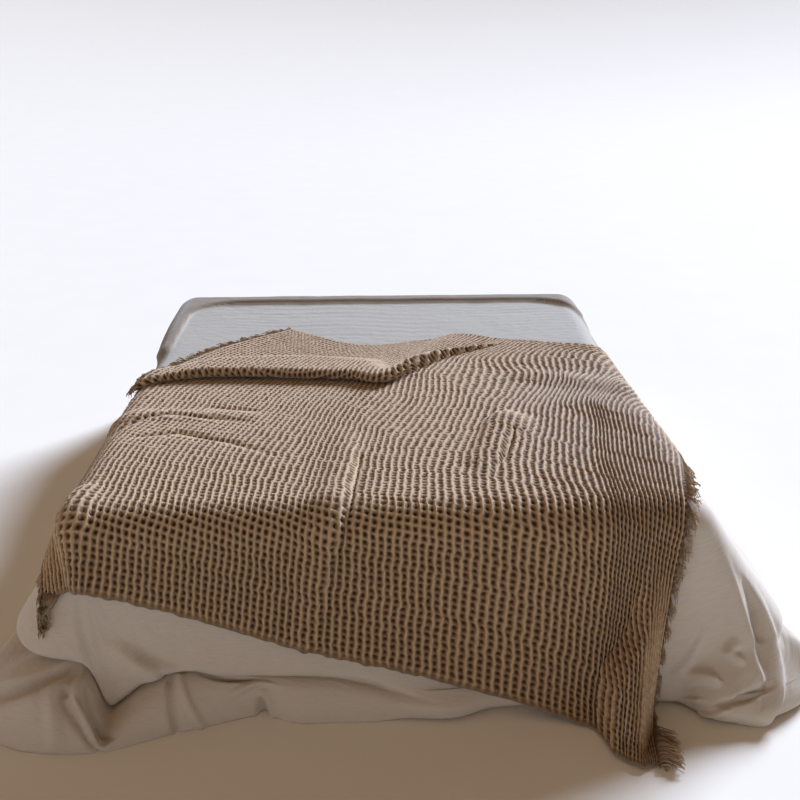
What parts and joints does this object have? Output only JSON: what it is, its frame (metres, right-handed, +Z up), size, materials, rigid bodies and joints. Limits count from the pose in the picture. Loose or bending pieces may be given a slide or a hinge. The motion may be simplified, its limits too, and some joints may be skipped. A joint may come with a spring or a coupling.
{
  "type": "waffle-weave throw draped over a bed",
  "caption": "Waffle-weave throw with fringed ends, pleated near the head and draped askew over the foot of a low bed whose full linen duvet spreads onto the floor.",
  "frame": {"origin": "on the floor under the middle of the mattress's width, at the middle of the base's underside plane", "axes": "+X across the bed, to the right seen from the foot; +Y towards the head; +Z up"},
  "size_m": [2.3001, 2.4218, 0.5738],
  "materials": {
    "base_timber": "plain sawn boards",
    "mattress_ticking": "woven cotton ticking",
    "duvet_linen": "washed off-white linen",
    "throw_waffle": "taupe cotton in a deep waffle weave"
  },
  "bodies": {
    "root": {"base": "base_timber", "mattress": "mattress_ticking", "duvet": "duvet_linen", "throw": "throw_waffle", "fringe_left": "throw_waffle", "fringe_right": "throw_waffle"}
  },
  "joints": []
}
